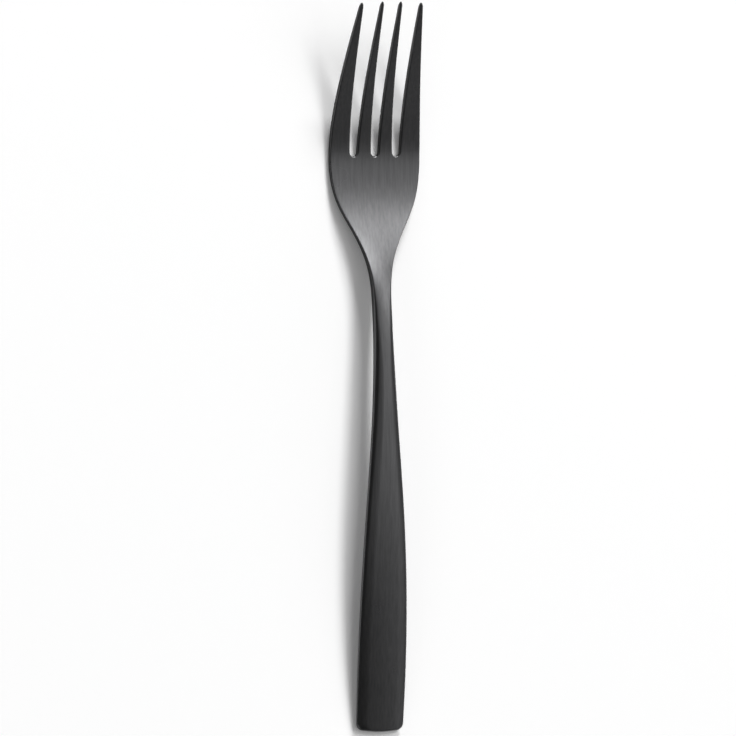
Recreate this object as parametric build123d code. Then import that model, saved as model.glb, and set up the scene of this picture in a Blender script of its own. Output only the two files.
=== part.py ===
from build123d import *
import os
from math import asin, cos, pi, sin, sqrt

# A dinner fork forged in one piece from stainless steel, in millimetres.
# +Y runs from the butt to the points, +X to the right as seen from above, +Z up.
# The origin is on the table that the fork lies on, under the middle of its length.
# The forging is divided into its named zones, which meet face to face on flat sections.

# Overall length, seen from above
LENGTH = 205.0

# Stations of the head, each measured back from the one before, from the points to the neck
BEND_BACK = 24.0
BELLY_BACK = 19.0
CHEEK_BACK = 14.0
SHOULDER_BACK = 8.0
COLLAR_BACK = 9.0
NECK_BACK = 12.5

# Stations of the handle, as shares of the way from the butt to the neck
PALM_SHARE = 0.12
GRIP_SHARE = 0.51
CROWN_SHARE = 0.74

# Width across the fork at the stations
BUTT_WIDTH = 13.9
PALM_WIDTH = 14.3
GRIP_WIDTH = 11.4
CROWN_WIDTH = 7.65
NECK_WIDTH = 5.35
COLLAR_WIDTH = 7.1
SHOULDER_WIDTH = 14.1
CHEEK_WIDTH = 22.2
HEAD_WIDTH = 26.8
BEND_WIDTH = 24.2

# Height of the middle of the metal above the table at the stations
BUTT_HEIGHT = 1.15
PALM_HEIGHT = 3.0
GRIP_HEIGHT = 7.4
CROWN_HEIGHT = 8.05
NECK_HEIGHT = 6.4
SHOULDER_HEIGHT = 3.25
BELLY_HEIGHT = 0.9
BEND_HEIGHT = 5.5
POINT_HEIGHT = 16.6

# Thickness of the metal at the stations
BUTT_THICKNESS = 2.3
PALM_THICKNESS = 2.9
CROWN_THICKNESS = 3.6
NECK_THICKNESS = 3.5
SHOULDER_THICKNESS = 1.9
HEAD_THICKNESS = 1.8
BEND_THICKNESS = 2.0
POINT_THICKNESS = 1.5

# Tines and the slots between them
TINE_LENGTH = 43.2
SLOT_WIDTH = 2.35
INNER_TINE_WIDTH = 4.0
POINT_WIDTH = 0.85
POINT_ROUND = 1.4
POINT_FLAT = 0.3
INNER_POINT_OUT = 2.72
OUTER_POINT_OUT = 8.8
OUTER_POINT_SHORT = 0.3

# Rounding of the edges: how far it reaches in from the side, with less on the handle's under edges
HANDLE_CORNER = 3.0
UNDER_CORNER = 2.4
HEAD_CORNER = 0.3
TINE_CORNER = 0.35
BUTT_BOW = 35.0
BUTT_CORNER = 2.0
BUTT_EDGE = 0.8

# Swell of the handle's faces, and the hollow across the collar
HANDLE_SWELL = 0.28
COLLAR_DISH = 0.12

# Lengths of the zones that the forging is divided into
BUTT_LENGTH = 8.0
NECK_REACH = 12.0

# Share of a wall that one rounding or swell may take, and the bezier measure of a quarter round
ROUND_SHARE = 0.38
SWELL_SHARE = 0.09
QUARTER = 0.5523

# Shares of the butt's half width: the most that its corner may take, and what is flat at its tip
END_SHARE = 0.8
END_FLAT = 0.15

# Height of the cut that ends a slot, in thicknesses of the head
CUT_SHARE = 4

# Stretches between the cross-sections that each zone is drawn through
BUTT_STEPS = 3
HANDLE_STEPS = 14
NECK_STEPS = 8
HEAD_STEPS = 12
TINE_STEPS = 10

# Cross-sections round the butt's bow, its corner and a tine's point, as shares of the way round
BOW_SHARES = (0.0, 0.4, 0.7, 1.0)
CORNER_SHARES = (0.2, 0.4, 0.6, 0.8, 1.0)
POINT_SHARES = (1.0, 0.7, 0.4, 0.2, 0.07, 0.0)

# Places along Y
BUTT_Y = -LENGTH / 2
POINT_Y = LENGTH / 2
BEND_Y = POINT_Y - BEND_BACK
BELLY_Y = BEND_Y - BELLY_BACK
CHEEK_Y = BELLY_Y - CHEEK_BACK
SHOULDER_Y = CHEEK_Y - SHOULDER_BACK
COLLAR_Y = SHOULDER_Y - COLLAR_BACK
NECK_Y = COLLAR_Y - NECK_BACK
PALM_Y = BUTT_Y + PALM_SHARE * (NECK_Y - BUTT_Y)
GRIP_Y = BUTT_Y + GRIP_SHARE * (NECK_Y - BUTT_Y)
CROWN_Y = BUTT_Y + CROWN_SHARE * (NECK_Y - BUTT_Y)
ROOT_Y = POINT_Y - TINE_LENGTH + SLOT_WIDTH / 2
BUTT_SEAM_Y = BUTT_Y + BUTT_LENGTH
NECK_SEAM_Y = NECK_Y - NECK_REACH


def smooth_curve(*points):
    """A natural cubic spline through (place, size) points, given as a function of the place."""
    places, sizes = zip(*points)
    count = len(points)
    steps = [places[i + 1] - places[i] for i in range(count - 1)]
    slopes = [(sizes[i + 1] - sizes[i]) / steps[i] for i in range(count - 1)]
    upper = [0.0] * count
    bends = [0.0] * count
    for i in range(1, count - 1):
        pivot = 2 * (steps[i - 1] + steps[i]) - steps[i - 1] * upper[i - 1]
        upper[i] = steps[i] / pivot
        bends[i] = (6 * (slopes[i] - slopes[i - 1]) - steps[i - 1] * bends[i - 1]) / pivot
    for i in range(count - 2, 0, -1):
        bends[i] -= upper[i] * bends[i + 1]

    def size_at(place):
        i = 0
        while i < count - 2 and place > places[i + 1]:
            i += 1
        step = steps[i]
        ahead = place - places[i]
        behind = places[i + 1] - place
        curved = (bends[i] * behind**3 + bends[i + 1] * ahead**3) / (6 * step)
        start = (sizes[i] / step - bends[i] * step / 6) * behind
        end = (sizes[i + 1] / step - bends[i + 1] * step / 6) * ahead
        return curved + start + end

    return size_at


def ease(place, start, end):
    """0 before the start, 1 after the end, and a smooth S between them."""
    share = min(max((place - start) / (end - start), 0.0), 1.0)
    return share * share * (3 - 2 * share)


half_width = smooth_curve(
    (BUTT_Y, BUTT_WIDTH / 2),
    (PALM_Y, PALM_WIDTH / 2),
    (GRIP_Y, GRIP_WIDTH / 2),
    (CROWN_Y, CROWN_WIDTH / 2),
    (NECK_Y, NECK_WIDTH / 2),
    (COLLAR_Y, COLLAR_WIDTH / 2),
    (SHOULDER_Y, SHOULDER_WIDTH / 2),
    (CHEEK_Y, CHEEK_WIDTH / 2),
    (BELLY_Y, HEAD_WIDTH / 2),
    (BEND_Y, BEND_WIDTH / 2),
    (POINT_Y, OUTER_POINT_OUT + POINT_WIDTH / 2),
)
middle_height = smooth_curve(
    (BUTT_Y, BUTT_HEIGHT),
    (PALM_Y, PALM_HEIGHT),
    (GRIP_Y, GRIP_HEIGHT),
    (CROWN_Y, CROWN_HEIGHT),
    (NECK_Y, NECK_HEIGHT),
    (SHOULDER_Y, SHOULDER_HEIGHT),
    (BELLY_Y, BELLY_HEIGHT),
    (BEND_Y, BEND_HEIGHT),
    (POINT_Y, POINT_HEIGHT),
)
thickness = smooth_curve(
    (BUTT_Y, BUTT_THICKNESS),
    (PALM_Y, PALM_THICKNESS),
    (CROWN_Y, CROWN_THICKNESS),
    (NECK_Y, NECK_THICKNESS),
    (SHOULDER_Y, SHOULDER_THICKNESS),
    (BELLY_Y, HEAD_THICKNESS),
    (BEND_Y, BEND_THICKNESS),
    (POINT_Y, POINT_THICKNESS),
)


def body_corner(y):
    """The rounding's reach: broad along the handle, and only a broken edge around the head."""
    return HANDLE_CORNER + (HEAD_CORNER - HANDLE_CORNER) * ease(y, CROWN_Y, COLLAR_Y)


def body_swell(y):
    """How far the handle's faces stand out at their middle."""
    return HANDLE_SWELL * (1 - ease(y, NECK_Y, COLLAR_Y))


def body_dish(y):
    """How far the sides turn up above the middle, most at the collar."""
    return COLLAR_DISH * ease(y, NECK_Y, COLLAR_Y) * (1 - ease(y, COLLAR_Y, CHEEK_Y))


def section(y, left, right, middle, thick, corners, swell=0.0, dish=0.0):
    """One cross-section: two bowed faces and two sides, joined by four rounded corners."""
    width = right - left
    swell = min(swell, SWELL_SHARE * thick)

    def at(x, z):
        return Vector(x, y, z)

    def rounding(face_x, face_z, side_x, side_z, lean):
        """A rounded corner that leaves the face along its lean and meets the side upright."""
        reach = QUARTER * (side_x - face_x)
        depth = QUARTER * (face_z - side_z)
        first = at(face_x + reach, face_z - lean * abs(reach))
        second = at(side_x, side_z + depth)
        return Bezier(at(face_x, face_z), first, second, at(side_x, side_z))

    def skin(level, reach_limit):
        """The face above (1) or below (-1) with its two roundings, and where these meet the sides."""
        reaches = [min(corner, reach_limit, ROUND_SHARE * width) for corner in corners]
        depths = [min(corner, reach_limit, ROUND_SHARE * thick) for corner in corners]
        face_left = left + reaches[0]
        face_right = right - reaches[1]
        face_width = face_right - face_left
        crest = middle + level * thick / 2
        sag = level * swell - dish
        face_sag = sag * (face_width / width) ** 2
        face_z = crest - face_sag
        lean = 4 * face_sag / face_width
        side_z = [crest - sag - level * depth for depth in depths]
        bow = at(face_left + face_width / 2, crest + face_sag)
        edges = [
            rounding(face_left, face_z, left, side_z[0], lean),
            Bezier(at(face_left, face_z), bow, at(face_right, face_z)),
            rounding(face_right, face_z, right, side_z[1], lean),
        ]
        return edges, side_z

    upper_edges, upper_z = skin(1, width)
    under_edges, under_z = skin(-1, UNDER_CORNER)
    sides = [Line(at(x, upper_z[i]), at(x, under_z[i])) for i, x in enumerate((left, right))]
    return Face(Wire(upper_edges + [sides[1]] + under_edges[::-1] + [sides[0]]))


def body_section(y):
    """The cross-section of the handle, neck or head at a place along the fork."""
    half = half_width(y)
    corners = (body_corner(y), body_corner(y))
    return section(y, -half, half, middle_height(y), thickness(y), corners, body_swell(y), body_dish(y))


def body_zone(start, end, steps):
    """A stretch of the body between two places along the fork."""
    places = [start + (end - start) * i / steps for i in range(steps + 1)]
    return loft([body_section(y) for y in places])


def butt_outline():
    """The end of the handle in plan, as (way in from the side, way in from the end)."""
    half = half_width(BUTT_Y)
    corner = min(BUTT_CORNER, END_SHARE * half)
    bow = max(BUTT_BOW, half)
    turn = asin((half - corner) / (bow - corner))
    corner_in = bow - (bow - corner) * cos(turn)
    outline = []
    for share in BOW_SHARES:
        angle = share * turn
        outline.append((half - max(bow * sin(angle), END_FLAT * half), bow * (1 - cos(angle))))
    for share in CORNER_SHARES:
        angle = turn + share * (pi / 2 - turn)
        outline.append((corner * (1 - sin(angle)), corner_in - corner * cos(angle)))
    return outline


def butt():
    """The handle's end: a gentle bow between two corners, with its edge rounded above and below."""
    rounded = []
    for inset, way_in in butt_outline():
        y = BUTT_Y + way_in
        half = half_width(y) - inset
        edge = min(BUTT_EDGE, ROUND_SHARE * thickness(y))
        short = max(edge - way_in, 0.0)
        thick = thickness(y) - 2 * (edge - sqrt(edge**2 - short**2))
        corners = (body_corner(y), body_corner(y))
        rounded.append(section(y, -half, half, middle_height(y), thick, corners, body_swell(y)))
    return loft(rounded, ruled=True) + body_zone(y, BUTT_SEAM_Y, BUTT_STEPS)


def head():
    """The flat of the fork, from the collar to the roots of the tines, with the ends of the slots."""
    plate = body_zone(COLLAR_Y, ROOT_Y, HEAD_STEPS)
    pitch = SLOT_WIDTH + INNER_TINE_WIDTH
    through = CUT_SHARE * HEAD_THICKNESS
    for side in (-1, 0, 1):
        plate -= Pos(side * pitch, ROOT_Y, middle_height(ROOT_Y)) * Cylinder(SLOT_WIDTH / 2, through)
    walls = plate.faces().filter_by(GeomType.CYLINDER)
    rims = [edge for wall in walls for edge in wall.edges() if edge.geom_type != GeomType.LINE]
    return fillet(rims, TINE_CORNER)


def straight_edge(root_x, point_x):
    """A straight side of a tine, as its place across the fork at a place along it."""

    def x_at(y):
        return root_x + (point_x - root_x) * (y - ROOT_Y) / (POINT_Y - ROOT_Y)

    return x_at


def tine(inner_side, outer_side, outer_corner, end_y):
    """One tine on the right of the fork, tapering from its root to a rounded point."""

    def tine_section(y, shrink=1.0):
        centre = (inner_side(y) + outer_side(y)) / 2
        half = (outer_side(y) - inner_side(y)) / 2 * shrink
        corners = (TINE_CORNER, outer_corner(y))
        return section(y, centre - half, centre + half, middle_height(y), thickness(y) * shrink, corners)

    step = (end_y - POINT_ROUND - ROOT_Y) / TINE_STEPS
    shank = loft([tine_section(ROOT_Y + step * i) for i in range(TINE_STEPS + 1)])
    rounded = []
    for share in POINT_SHARES:
        shrink = sqrt(1 - (1 - POINT_FLAT**2) * (1 - share) ** 2)
        rounded.append(tine_section(end_y - POINT_ROUND * share, shrink))
    return shank + loft(rounded, ruled=True)


# Sides of the tines at their roots, from the middle slot outwards
inner_near = SLOT_WIDTH / 2
inner_far = inner_near + INNER_TINE_WIDTH
outer_near = inner_far + SLOT_WIDTH

inner_tine = tine(
    straight_edge(inner_near, INNER_POINT_OUT - POINT_WIDTH / 2),
    straight_edge(inner_far, INNER_POINT_OUT + POINT_WIDTH / 2),
    lambda y: TINE_CORNER,
    POINT_Y,
)
outer_tine = tine(
    straight_edge(outer_near, OUTER_POINT_OUT - POINT_WIDTH / 2),
    half_width,
    body_corner,
    POINT_Y - OUTER_POINT_SHORT,
)

zones = {
    "handle_end": butt(),
    "handle": body_zone(BUTT_SEAM_Y, NECK_SEAM_Y, HANDLE_STEPS),
    "neck": body_zone(NECK_SEAM_Y, COLLAR_Y, NECK_STEPS),
    "head": head(),
    "tine_inner_right": inner_tine,
    "tine_inner_left": mirror(inner_tine, Plane.YZ),
    "tine_outer_right": outer_tine,
    "tine_outer_left": mirror(outer_tine, Plane.YZ),
}

# The fork is lowered until its lowest point touches the table
lowest = min(zone.bounding_box().min.Z for zone in zones.values())
os.makedirs("parts", exist_ok=True)
for name, zone in zones.items():
    export_step(Pos(0, 0, -lowest) * zone, f"parts/{name}.step")
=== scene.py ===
from math import asin, cos, pi, radians, sin, sqrt

import bmesh
import bpy
from mathutils import Matrix, Vector


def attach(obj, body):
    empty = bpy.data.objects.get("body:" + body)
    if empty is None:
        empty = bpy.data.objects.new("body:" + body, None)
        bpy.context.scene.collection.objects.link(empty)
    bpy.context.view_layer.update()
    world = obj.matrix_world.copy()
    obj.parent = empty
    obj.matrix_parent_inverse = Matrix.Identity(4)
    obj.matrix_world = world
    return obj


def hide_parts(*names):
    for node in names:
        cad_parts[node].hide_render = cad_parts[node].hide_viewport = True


# A dinner fork forged in one piece and coated black, lying on a white table.
# +Y runs from the butt to the points and +X to the right as seen from above.
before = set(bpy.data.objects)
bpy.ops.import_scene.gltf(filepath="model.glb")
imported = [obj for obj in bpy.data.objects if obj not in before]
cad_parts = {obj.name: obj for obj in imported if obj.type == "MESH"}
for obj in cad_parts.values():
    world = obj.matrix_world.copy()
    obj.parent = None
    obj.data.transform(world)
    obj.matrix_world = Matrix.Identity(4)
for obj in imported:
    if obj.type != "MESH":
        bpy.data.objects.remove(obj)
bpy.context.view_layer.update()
MM = 0.001

# Sizes of the forging, in millimetres
LENGTH = 205.0
BEND_BACK = 24.0
BELLY_BACK = 19.0
CHEEK_BACK = 14.0
SHOULDER_BACK = 8.0
COLLAR_BACK = 9.0
NECK_BACK = 12.5
PALM_SHARE = 0.12
GRIP_SHARE = 0.51
CROWN_SHARE = 0.74
BUTT_WIDTH = 13.9
PALM_WIDTH = 14.3
GRIP_WIDTH = 11.4
CROWN_WIDTH = 7.65
NECK_WIDTH = 5.35
COLLAR_WIDTH = 7.1
SHOULDER_WIDTH = 14.1
CHEEK_WIDTH = 22.2
HEAD_WIDTH = 26.8
BEND_WIDTH = 24.2
BUTT_HEIGHT = 1.15
PALM_HEIGHT = 3.0
GRIP_HEIGHT = 7.4
CROWN_HEIGHT = 8.05
NECK_HEIGHT = 6.4
SHOULDER_HEIGHT = 3.25
BELLY_HEIGHT = 0.9
BEND_HEIGHT = 5.5
POINT_HEIGHT = 16.6
BUTT_THICKNESS = 2.3
PALM_THICKNESS = 2.9
CROWN_THICKNESS = 3.6
NECK_THICKNESS = 3.5
SHOULDER_THICKNESS = 1.9
HEAD_THICKNESS = 1.8
BEND_THICKNESS = 2.0
POINT_THICKNESS = 1.5
TINE_LENGTH = 43.2
SLOT_WIDTH = 2.35
INNER_TINE_WIDTH = 4.0
POINT_WIDTH = 0.85
POINT_ROUND = 1.4
POINT_FLAT = 0.3
INNER_POINT_OUT = 2.72
OUTER_POINT_OUT = 8.8
OUTER_POINT_SHORT = 0.3
HANDLE_CORNER = 3.0
UNDER_CORNER = 2.4
HEAD_CORNER = 0.3
TINE_CORNER = 0.35
ROUND_SHARE = 0.38
SWELL_SHARE = 0.09
BUTT_BOW = 35.0
BUTT_CORNER = 2.0
BUTT_EDGE = 0.8
END_FLAT = 0.15
HANDLE_SWELL = 0.28
COLLAR_DISH = 0.12
BUTT_LENGTH = 8.0
NECK_REACH = 12.0

# Places along the fork
BUTT_Y = -LENGTH / 2
POINT_Y = LENGTH / 2
BEND_Y = POINT_Y - BEND_BACK
BELLY_Y = BEND_Y - BELLY_BACK
CHEEK_Y = BELLY_Y - CHEEK_BACK
SHOULDER_Y = CHEEK_Y - SHOULDER_BACK
COLLAR_Y = SHOULDER_Y - COLLAR_BACK
NECK_Y = COLLAR_Y - NECK_BACK
PALM_Y = BUTT_Y + PALM_SHARE * (NECK_Y - BUTT_Y)
GRIP_Y = BUTT_Y + GRIP_SHARE * (NECK_Y - BUTT_Y)
CROWN_Y = BUTT_Y + CROWN_SHARE * (NECK_Y - BUTT_Y)
ROOT_Y = POINT_Y - TINE_LENGTH + SLOT_WIDTH / 2
BUTT_SEAM_Y = BUTT_Y + BUTT_LENGTH
NECK_SEAM_Y = NECK_Y - NECK_REACH

# The slots between the tines, the radius at which the face begins to round into them, and how far
# behind the roots the rows of the mesh begin to bend round them
SLOT_PITCH = SLOT_WIDTH + INNER_TINE_WIDTH
NOTCH_RADIUS = SLOT_WIDTH / 2 + TINE_CORNER
NOTCH_ZONE = 6.0
NOTCH_ZONE_Y = ROOT_Y - NOTCH_ZONE

# Fineness of the meshes: rows along the fork, columns across it, and steps round an edge
ROW = 1.0
SEAM_ROW = 0.08
COLUMN = 0.6
FACE_STEPS = 16
TINE_FACE_STEPS = 8
ROUND_STEPS = 8
NOTCH_STEPS = 12
BUTT_BOW_STEPS = 8
BUTT_CORNER_STEPS = 12
POINT_STEPS = 9

# Points nearer than this are one point, and the step of the search for the fork's lowest place
MERGE = 0.002
LEVEL_STEP = 0.05

# The coating and its brushing. Real brush marks are about 0.05 mm wide; these are drawn
# wider so that they show at this distance.
COAT_DARK = "#464647"
COAT_LIGHT = "#5f5f60"
COAT_EDGE = "#bcbcbc"
COAT_ROUGHNESS = 0.28
ROUGHNESS_SPREAD = 0.02
BRUSH_WIDTH = 0.5
BRUSH_LENGTH = 12.0
BRUSH_DEPTH = 0.004
BRUSH_DETAIL = 3.0
BRUSH_GRAIN = 0.6
CLOUD_SIZE = 12.0
CLOUD_DETAIL = 2.0

# The studio light: soft panels hung level at one height in metres, each with its left, right, near
# and far side in shares of that height, and its radiance
PANEL_HEIGHT = 8.0
SOFT_PANELS = {
    "key_panel": (0.39, 0.79, 0.43, 1.03, 11.4),
    "overhead_panel": (0.16, 1.28, -0.12, 0.59, 1.12),
    "left_panel": (-0.6, 0.16, -0.12, 0.59, 0.42),
    "side_panel": (0.41, 6.0, -1.31, 0.45, 0.47),
    "low_panel": (0.1, 0.9, 2.0, 3.0, 83.0),
    "near_left_panel": (-2.6, -0.9, -2.6, -0.9, 0.9),
    "near_right_panel": (2.0, 5.0, -5.0, -1.31, 0.9),
    "far_left_panel": (-3.0, -1.0, 1.0, 3.0, 0.9),
}
ROOM_WHITE = "#ffffff"
ROOM_LEVEL = 0.09
TABLE_WHITE = "#fdfdfd"
TABLE_GLOW = 0.08
TABLE_REACH = 20.0

# The photograph's view: from the left of straight above, through a long lens
VIEW_TILT = 20.0
VIEW_ROLL = 0.51
PICTURE_PIXELS = 736
PIXELS_PER_MM = 3.554
FORK_MIDDLE_PIXEL = (374.65, 367.3)
LENS = 800.0
SENSOR = 36.0
CLIP_END = 100.0


def smooth_curve(*points):
    """A natural cubic spline through (place, size) points, given as a function of the place."""
    places, sizes = zip(*points)
    count = len(points)
    steps = [places[i + 1] - places[i] for i in range(count - 1)]
    slopes = [(sizes[i + 1] - sizes[i]) / steps[i] for i in range(count - 1)]
    upper = [0.0] * count
    bends = [0.0] * count
    for i in range(1, count - 1):
        pivot = 2 * (steps[i - 1] + steps[i]) - steps[i - 1] * upper[i - 1]
        upper[i] = steps[i] / pivot
        bends[i] = (6 * (slopes[i] - slopes[i - 1]) - steps[i - 1] * bends[i - 1]) / pivot
    for i in range(count - 2, 0, -1):
        bends[i] -= upper[i] * bends[i + 1]

    def size_at(place):
        i = 0
        while i < count - 2 and place > places[i + 1]:
            i += 1
        step = steps[i]
        ahead = place - places[i]
        behind = places[i + 1] - place
        curved = (bends[i] * behind**3 + bends[i + 1] * ahead**3) / (6 * step)
        start = (sizes[i] / step - bends[i] * step / 6) * behind
        end = (sizes[i + 1] / step - bends[i + 1] * step / 6) * ahead
        return curved + start + end

    return size_at


def ease(place, start, end):
    """0 before the start, 1 after the end, and a smooth S between them."""
    share = min(max((place - start) / (end - start), 0.0), 1.0)
    return share * share * (3 - 2 * share)


def spread(start, end, step):
    """Even places from start to end, about a step apart."""
    count = max(round((end - start) / step), 1)
    return [start + (end - start) * i / count for i in range(count + 1)]


def seamed(start, end, step=ROW):
    """Places from one seam to another, with a narrow row at each so that the shine runs on."""
    return [start] + spread(start + SEAM_ROW, end - SEAM_ROW, step) + [end]


half_width = smooth_curve(
    (BUTT_Y, BUTT_WIDTH / 2),
    (PALM_Y, PALM_WIDTH / 2),
    (GRIP_Y, GRIP_WIDTH / 2),
    (CROWN_Y, CROWN_WIDTH / 2),
    (NECK_Y, NECK_WIDTH / 2),
    (COLLAR_Y, COLLAR_WIDTH / 2),
    (SHOULDER_Y, SHOULDER_WIDTH / 2),
    (CHEEK_Y, CHEEK_WIDTH / 2),
    (BELLY_Y, HEAD_WIDTH / 2),
    (BEND_Y, BEND_WIDTH / 2),
    (POINT_Y, OUTER_POINT_OUT + POINT_WIDTH / 2),
)
forged_height = smooth_curve(
    (BUTT_Y, BUTT_HEIGHT),
    (PALM_Y, PALM_HEIGHT),
    (GRIP_Y, GRIP_HEIGHT),
    (CROWN_Y, CROWN_HEIGHT),
    (NECK_Y, NECK_HEIGHT),
    (SHOULDER_Y, SHOULDER_HEIGHT),
    (BELLY_Y, BELLY_HEIGHT),
    (BEND_Y, BEND_HEIGHT),
    (POINT_Y, POINT_HEIGHT),
)
thickness = smooth_curve(
    (BUTT_Y, BUTT_THICKNESS),
    (PALM_Y, PALM_THICKNESS),
    (CROWN_Y, CROWN_THICKNESS),
    (NECK_Y, NECK_THICKNESS),
    (SHOULDER_Y, SHOULDER_THICKNESS),
    (BELLY_Y, HEAD_THICKNESS),
    (BEND_Y, BEND_THICKNESS),
    (POINT_Y, POINT_THICKNESS),
)
table_level = min(forged_height(y) - thickness(y) / 2 for y in spread(BUTT_Y, POINT_Y, LEVEL_STEP))


def body_corner(y):
    """The rounding's reach: broad along the handle, and only a broken edge around the head."""
    return HANDLE_CORNER + (HEAD_CORNER - HANDLE_CORNER) * ease(y, CROWN_Y, COLLAR_Y)


def body_swell(y):
    """How far the handle's faces stand out at their middle."""
    return HANDLE_SWELL * (1 - ease(y, NECK_Y, COLLAR_Y))


def body_dish(y):
    """How far the sides turn up above the middle, most at the collar."""
    return COLLAR_DISH * ease(y, NECK_Y, COLLAR_Y) * (1 - ease(y, COLLAR_Y, CHEEK_Y))


class Section:
    """A cross-section of the forging: a face above and one below, with rounded edges between."""

    def __init__(self, y, left, right, corners, thick, swell=0.0, dish=0.0):
        self.y = y
        self.left = left
        self.right = right
        self.corners = corners
        self.thick = thick
        self.swell = min(swell, SWELL_SHARE * thick)
        self.dish = dish

    def corner(self, side, level):
        """The rounding on the left (-1) or right (1), above (level 1) or below (level -1)."""
        corner = self.corners[side > 0]
        return corner if level > 0 else min(corner, UNDER_CORNER)

    def reach(self, side, level=1):
        """How far the rounding reaches across the face."""
        return min(self.corner(side, level), ROUND_SHARE * (self.right - self.left))

    def depth(self, side, level=1):
        """How far the rounding reaches into the thickness."""
        return min(self.corner(side, level), ROUND_SHARE * self.thick)

    def flat(self, share, level=1):
        """The place across the fork of a share, from -1 to 1, of the face between the roundings."""
        low = self.left + self.reach(-1, level)
        high = self.right - self.reach(1, level)
        return (low + high) / 2 + share * (high - low) / 2

    def height(self, x, level, depth, turn):
        """The height of the skin above (level 1) or below (level -1), turned round the edge."""
        across = (2 * x - self.left - self.right) / (self.right - self.left)
        face = self.thick / 2 - depth - self.swell * across**2
        middle = forged_height(self.y) - table_level + self.dish * across**2
        return middle + level * face + depth * sin(turn)

    def point(self, share, level, turn):
        """A point on the skin, in metres."""
        side = 1 if share > 0 else -1
        x = self.flat(share, level) + side * self.reach(side, level) * cos(turn)
        return Vector((x, self.y, self.height(x, level, self.depth(side, level), turn))) * MM


def body_section(y, half=None, thick=None):
    """The cross-section of the handle, neck or head, at its own size or a smaller one."""
    half = half or half_width(y)
    corners = (body_corner(y), body_corner(y))
    return Section(y, -half, half, corners, thick or thickness(y), body_swell(y), body_dish(y))


def edge_round():
    """Marks round the right edge, from the upper face down: the level, and the turn."""
    turns = [pi / 2 * i / ROUND_STEPS for i in range(ROUND_STEPS + 1)]
    return [(1, turn) for turn in reversed(turns)] + [(-1, -turn) for turn in turns]


def skin_round(face_steps):
    """Marks once round a cross-section: the share across, the level, and the turn of the edge."""
    shares = [sin(pi / 2 * (2 * i / face_steps - 1)) for i in range(face_steps + 1)]
    right = [(1, level, turn) for level, turn in edge_round()]
    left = [(-1, level, turn) for level, turn in reversed(edge_round())]
    above = [(share, 1, pi / 2) for share in shares]
    below = [(share, -1, -pi / 2) for share in reversed(shares)]
    return above[:-1] + right[:-1] + below[:-1] + left


def finish_piece(skin, name, node, free_end=None):
    """Closes a forged piece, smooths it up to its flat seams, and puts it in its node's place."""
    bmesh.ops.remove_doubles(skin, verts=skin.verts, dist=MERGE * MM)
    open_edges = [edge for edge in skin.edges if edge.is_boundary]
    caps = bmesh.ops.holes_fill(skin, edges=open_edges, sides=0)["faces"]
    bmesh.ops.recalc_face_normals(skin, faces=skin.faces)
    for face in skin.faces:
        face.smooth = True
    for cap in caps:
        at_seam = free_end is None or abs(cap.calc_center_median().y / MM - free_end) > SEAM_ROW
        cap.smooth = not at_seam
        for edge in cap.edges:
            edge.smooth = not at_seam
    mesh = bpy.data.meshes.new(name)
    skin.to_mesh(mesh)
    skin.free()
    mesh.materials.append(coat)
    piece = bpy.data.objects.new(name, mesh)
    bpy.context.scene.collection.objects.link(piece)
    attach(piece, "root")
    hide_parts(node)


def forged_bar(name, node, sections, face_steps, free_end=None):
    """A bar through its cross-sections: a sheet of rows, wrapped round and closed at its ends."""
    marks = skin_round(face_steps)
    around = len(marks) - 1
    along = len(sections) - 1
    bar = bmesh.new()
    bmesh.ops.create_grid(bar, x_segments=around, y_segments=along, size=1)
    for vert in bar.verts:
        mark = marks[round((vert.co.x + 1) / 2 * around)]
        section = sections[round((vert.co.y + 1) / 2 * along)]
        vert.co = section.point(*mark)
    finish_piece(bar, name, node, free_end)


def butt_outline():
    """The end of the handle in plan, as (way in from the side, way in from the end)."""
    half = half_width(BUTT_Y)
    turn = asin((half - BUTT_CORNER) / (BUTT_BOW - BUTT_CORNER))
    corner_in = BUTT_BOW - (BUTT_BOW - BUTT_CORNER) * cos(turn)
    outline = []
    for angle in spread(0.0, turn, turn / BUTT_BOW_STEPS):
        across = max(BUTT_BOW * sin(angle), END_FLAT * half)
        outline.append((half - across, BUTT_BOW * (1 - cos(angle))))
    for angle in spread(turn, pi / 2, (pi / 2 - turn) / BUTT_CORNER_STEPS)[1:]:
        outline.append((BUTT_CORNER * (1 - sin(angle)), corner_in - BUTT_CORNER * cos(angle)))
    return outline


def make_handle_end():
    """The butt: a gentle bow between two corners, with its edge rounded above and below."""
    sections = []
    for inset, way_in in butt_outline():
        y = BUTT_Y + way_in
        edge = min(BUTT_EDGE, ROUND_SHARE * thickness(y))
        short = max(edge - way_in, 0.0)
        thick = thickness(y) - 2 * (edge - sqrt(edge**2 - short**2))
        sections.append(body_section(y, half_width(y) - inset, thick))
    sections += [body_section(y) for y in spread(y, BUTT_SEAM_Y - SEAM_ROW, ROW)[1:]]
    sections.append(body_section(BUTT_SEAM_Y))
    forged_bar("coated_handle_end", "handle_end", sections, FACE_STEPS, BUTT_Y)


def make_handle():
    """The arched handle, from the butt to the neck."""
    sections = [body_section(y) for y in seamed(BUTT_SEAM_Y, NECK_SEAM_Y)]
    forged_bar("coated_handle", "handle", sections, FACE_STEPS)


def make_neck():
    """The narrow neck, which widens into the head."""
    sections = [body_section(y) for y in seamed(NECK_SEAM_Y, COLLAR_Y, ROW / 2)]
    forged_bar("coated_neck", "neck", sections, FACE_STEPS)


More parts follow.
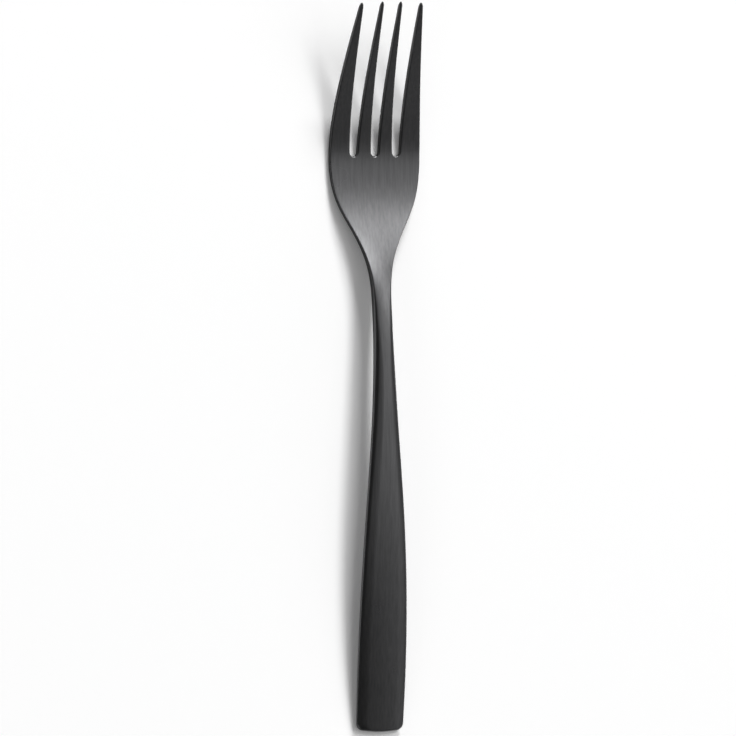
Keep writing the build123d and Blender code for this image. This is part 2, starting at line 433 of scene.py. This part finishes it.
def head_columns():
    """Columns across the head at the tines' roots: each one's place, and the slot that ends it."""
    edge = body_section(ROOT_Y).flat(1)
    columns = []
    prong = spread(-edge, -SLOT_PITCH - NOTCH_RADIUS, COLUMN)
    for slot in (-SLOT_PITCH, 0.0, SLOT_PITCH):
        columns += [(x, None) for x in prong[:-1]]
        for i in range(NOTCH_STEPS + 1):
            columns.append((slot - NOTCH_RADIUS * cos(pi * i / NOTCH_STEPS), slot))
        prong_end = edge if slot == SLOT_PITCH else slot + SLOT_PITCH - NOTCH_RADIUS
        prong = spread(slot + NOTCH_RADIUS, prong_end, COLUMN)[1:]
    return columns + [(x, None) for x in prong]


def head_place(column, y):
    """Where a column of the head crosses a row, with the rows drawn back behind the slots."""
    root_x, slot = column
    near = max((y - NOTCH_ZONE_Y) / (ROOT_Y - NOTCH_ZONE_Y), 0.0)
    if slot is not None:
        y -= near * sqrt(max(NOTCH_RADIUS**2 - (root_x - slot) ** 2, 0.0))
    x = body_section(y).flat(root_x / body_section(ROOT_Y).flat(1))
    return x + (root_x - x) * near, y


def make_head():
    """The flat of the fork: two faces, with an edge rolled round the sides and the slots' ends."""
    columns = head_columns()
    rows = seamed(COLLAR_Y, ROOT_Y)
    across = len(columns) - 1
    along = len(rows) - 1
    head = bmesh.new()
    spots = {}
    for level in (-1, 1):
        sheet = bmesh.ops.create_grid(head, x_segments=across, y_segments=along, size=1)
        for vert in sheet["verts"]:
            i = round((vert.co.x + 1) / 2 * across)
            j = round((vert.co.y + 1) / 2 * along)
            x, y = head_place(columns[i], rows[j])
            section = body_section(y)
            vert.co = Vector((x, y, section.height(x, level, 0.0, 0.0))) * MM
            slot = columns[i][1]
            if level > 0 and i in (0, across):
                side = 1 if i else -1
                spots[vert] = (x, y, Vector((side, 0)), section.reach(side), section.depth(side))
            elif level > 0 and j == along and slot is not None:
                inward = Vector((slot - x, ROOT_Y - y)).normalized()
                spots[vert] = (x, y, inward, TINE_CORNER, TINE_CORNER)
    rim = [edge for edge in head.edges if edge.is_boundary and all(v in spots for v in edge.verts)]
    for level, turn in edge_round()[1:]:
        made = bmesh.ops.extrude_edge_only(head, edges=rim)["geom"]
        rolled = {}
        for vert in made:
            if isinstance(vert, bmesh.types.BMVert):
                before = next(v for edge in vert.link_edges for v in edge.verts if v in spots)
                rolled[vert] = spots[before]
        for vert, (x, y, out, reach, depth) in rolled.items():
            x += out.x * reach * cos(turn)
            y += out.y * reach * cos(turn)
            vert.co = Vector((x, y, body_section(y).height(x, level, depth, turn))) * MM
        edges = [item for item in made if isinstance(item, bmesh.types.BMEdge)]
        rim = [edge for edge in edges if all(v in rolled for v in edge.verts)]
        spots = rolled
    finish_piece(head, "coated_head", "head")


def straight_edge(root_x, point_x):
    """A straight side of a tine, as its place across the fork at a place along it."""

    def x_at(y):
        return root_x + (point_x - root_x) * (y - ROOT_Y) / (POINT_Y - ROOT_Y)

    return x_at


def make_tine(node, side, inner_edge, outer_edge, outer_corner, end_y):
    """One tine on the left (-1) or right (1), tapering from its root to a rounded point."""

    def tine_section(y, shrink=1.0):
        centre = side * (inner_edge(y) + outer_edge(y)) / 2
        half = (outer_edge(y) - inner_edge(y)) / 2 * shrink
        corners = (TINE_CORNER, outer_corner(y))[::side]
        return Section(y, centre - half, centre + half, corners, thickness(y) * shrink)

    shank = [ROOT_Y] + spread(ROOT_Y + SEAM_ROW, end_y - POINT_ROUND, ROW)
    sections = [tine_section(y) for y in shank]
    for i in range(1, POINT_STEPS + 1):
        share = 1 - sin(pi / 2 * i / POINT_STEPS)
        shrink = sqrt(1 - (1 - POINT_FLAT**2) * (1 - share) ** 2)
        sections.append(tine_section(end_y - POINT_ROUND * share, shrink))
    forged_bar("coated_" + node, node, sections, TINE_FACE_STEPS, end_y)


def make_tines():
    """Two inner and two outer tines, with straight sides along the slots."""
    inner_near = SLOT_WIDTH / 2
    inner_far = inner_near + INNER_TINE_WIDTH
    outer_near = inner_far + SLOT_WIDTH
    inner_edges = (
        straight_edge(inner_near, INNER_POINT_OUT - POINT_WIDTH / 2),
        straight_edge(inner_far, INNER_POINT_OUT + POINT_WIDTH / 2),
    )
    outer_edge = straight_edge(outer_near, OUTER_POINT_OUT - POINT_WIDTH / 2)
    for side, word in ((-1, "left"), (1, "right")):
        make_tine("tine_inner_" + word, side, *inner_edges, lambda y: TINE_CORNER, POINT_Y)
        outer_end = POINT_Y - OUTER_POINT_SHORT
        make_tine("tine_outer_" + word, side, outer_edge, half_width, body_corner, outer_end)


def linear(hex_colour):
    """The linear colour of an sRGB hex value."""
    parts = [int(hex_colour[i : i + 2], 16) / 255 for i in (1, 3, 5)]
    return [p / 12.92 if p <= 0.04045 else ((p + 0.055) / 1.055) ** 2.4 for p in parts] + [1.0]


def add_node(tree, kind, inputs, **settings):
    """Adds a node, makes its settings, and fills its inputs with values or links."""
    node = tree.nodes.new(kind)
    for name, value in settings.items():
        setattr(node, name, value)
    for name, value in inputs.items():
        if isinstance(value, bpy.types.NodeSocket):
            tree.links.new(value, node.inputs[name])
        else:
            node.inputs[name].default_value = value
    return node


def new_material(name):
    """A material with an empty node tree."""
    material = bpy.data.materials.new(name)
    material.use_nodes = True
    material.node_tree.nodes.clear()
    return material


def vapour_coated_steel():
    """Stainless steel brushed lengthwise and coated black in vapour: a dark satin metal.
    The brushing gives the eye faint streaks along the fork and softens what it mirrors."""
    material = new_material("vapour_coated_brushed_steel")
    tree = material.node_tree
    place = add_node(tree, "ShaderNodeTexCoord", {}).outputs["Object"]
    brush_scale = [1 / (size * MM) for size in (BRUSH_WIDTH, BRUSH_LENGTH, BRUSH_WIDTH)]
    brushed = add_node(tree, "ShaderNodeMapping", {"Vector": place, "Scale": brush_scale})
    streaks = add_node(
        tree,
        "ShaderNodeTexNoise",
        {
            "Vector": brushed.outputs["Vector"],
            "Scale": 1.0,
            "Detail": BRUSH_DETAIL,
            "Roughness": BRUSH_GRAIN,
        },
    )
    clouds = add_node(
        tree,
        "ShaderNodeTexNoise",
        {"Vector": place, "Scale": 1 / (CLOUD_SIZE * MM), "Detail": CLOUD_DETAIL},
    )
    tone = add_node(
        tree,
        "ShaderNodeMixRGB",
        {"Fac": streaks.outputs["Fac"], "Color1": linear(COAT_DARK), "Color2": linear(COAT_LIGHT)},
    )
    satin = add_node(
        tree,
        "ShaderNodeMapRange",
        {
            "Value": clouds.outputs["Fac"],
            "To Min": COAT_ROUGHNESS - ROUGHNESS_SPREAD,
            "To Max": COAT_ROUGHNESS + ROUGHNESS_SPREAD,
        },
    )
    marks = add_node(
        tree,
        "ShaderNodeBump",
        {"Height": streaks.outputs["Fac"], "Distance": BRUSH_DEPTH * MM},
    )
    metal = add_node(
        tree,
        "ShaderNodeBsdfPrincipled",
        {
            "Base Color": tone.outputs["Color"],
            "Metallic": 1.0,
            "Roughness": satin.outputs["Result"],
            "Specular Tint": linear(COAT_EDGE),
            "Normal": marks.outputs["Normal"],
        },
    )
    add_node(tree, "ShaderNodeOutputMaterial", {"Surface": metal.outputs["BSDF"]})
    return material


def white_table():
    """A matt white sheet that glows a little to the eye and in the metal, which lightens shadows."""
    material = new_material("matt_white_sheet")
    tree = material.node_tree
    ray = add_node(tree, "ShaderNodeLightPath", {}).outputs
    seen = ray["Is Camera Ray"]
    for kind in ("Is Glossy Ray", "Is Transmission Ray"):
        either = add_node(tree, "ShaderNodeMath", {0: seen, 1: ray[kind]}, operation="MAXIMUM")
        seen = either.outputs[0]
    share = add_node(tree, "ShaderNodeMath", {0: seen, 1: TABLE_GLOW}, operation="MULTIPLY")
    sheet = add_node(tree, "ShaderNodeBsdfDiffuse", {"Color": linear(TABLE_WHITE)})
    glow = add_node(tree, "ShaderNodeEmission", {"Strength": 1.0})
    surface = add_node(
        tree,
        "ShaderNodeMixShader",
        {0: share.outputs[0], 1: sheet.outputs["BSDF"], 2: glow.outputs["Emission"]},
    )
    add_node(tree, "ShaderNodeOutputMaterial", {"Surface": surface.outputs["Shader"]})
    return material


def make_table():
    """The plain pale floor that the fork lies on."""
    floor = bmesh.new()
    bmesh.ops.create_grid(floor, x_segments=1, y_segments=1, size=TABLE_REACH)
    mesh = bpy.data.meshes.new("table")
    floor.to_mesh(mesh)
    floor.free()
    mesh.materials.append(white_table())
    table = bpy.data.objects.new("table", mesh)
    bpy.context.scene.collection.objects.link(table)


def soft_panel(name, left, right, near, far, radiance):
    """A soft panel hung level above the table; its sides are in shares of its height."""
    light = bpy.data.lights.new(name, "AREA")
    light.shape = "RECTANGLE"
    light.size = (right - left) * PANEL_HEIGHT
    light.size_y = (far - near) * PANEL_HEIGHT
    light.energy = radiance * pi * light.size * light.size_y
    panel = bpy.data.objects.new(name, light)
    panel.location = Vector(((left + right) / 2, (near + far) / 2, 1)) * PANEL_HEIGHT
    panel.visible_camera = False
    bpy.context.scene.collection.objects.link(panel)


def make_light():
    """Soft studio light: panels beyond the points, overhead, on the right and in the corners."""
    for name, panel in SOFT_PANELS.items():
        soft_panel(name, *panel)
    world = bpy.data.worlds.new("dim_room")
    bpy.context.scene.world = world
    world.use_nodes = True
    background = world.node_tree.nodes["Background"]
    background.inputs["Color"].default_value = linear(ROOM_WHITE)
    background.inputs["Strength"].default_value = ROOM_LEVEL


def make_camera():
    """A camera that sees the fork at the photograph's angle and size."""
    data = bpy.data.cameras.new("camera")
    data.lens = LENS
    data.sensor_width = SENSOR
    data.clip_end = CLIP_END
    camera = bpy.data.objects.new("camera", data)
    bpy.context.scene.collection.objects.link(camera)
    tilt = Matrix.Rotation(-radians(VIEW_TILT), 4, "Y")
    roll = Matrix.Rotation(-radians(VIEW_ROLL), 4, "Z")
    view_width = PICTURE_PIXELS / PIXELS_PER_MM * MM
    right = (PICTURE_PIXELS / 2 - FORK_MIDDLE_PIXEL[0]) / PIXELS_PER_MM * MM
    up = (FORK_MIDDLE_PIXEL[1] - PICTURE_PIXELS / 2) / PIXELS_PER_MM * MM
    distance = view_width * LENS / SENSOR
    camera.matrix_world = tilt @ roll @ Matrix.Translation((right, up, distance))
    bpy.context.scene.camera = camera


coat = vapour_coated_steel()
make_handle_end()
make_handle()
make_neck()
make_head()
make_tines()
make_table()
make_light()
make_camera()
bpy.context.scene.view_settings.view_transform = "Standard"
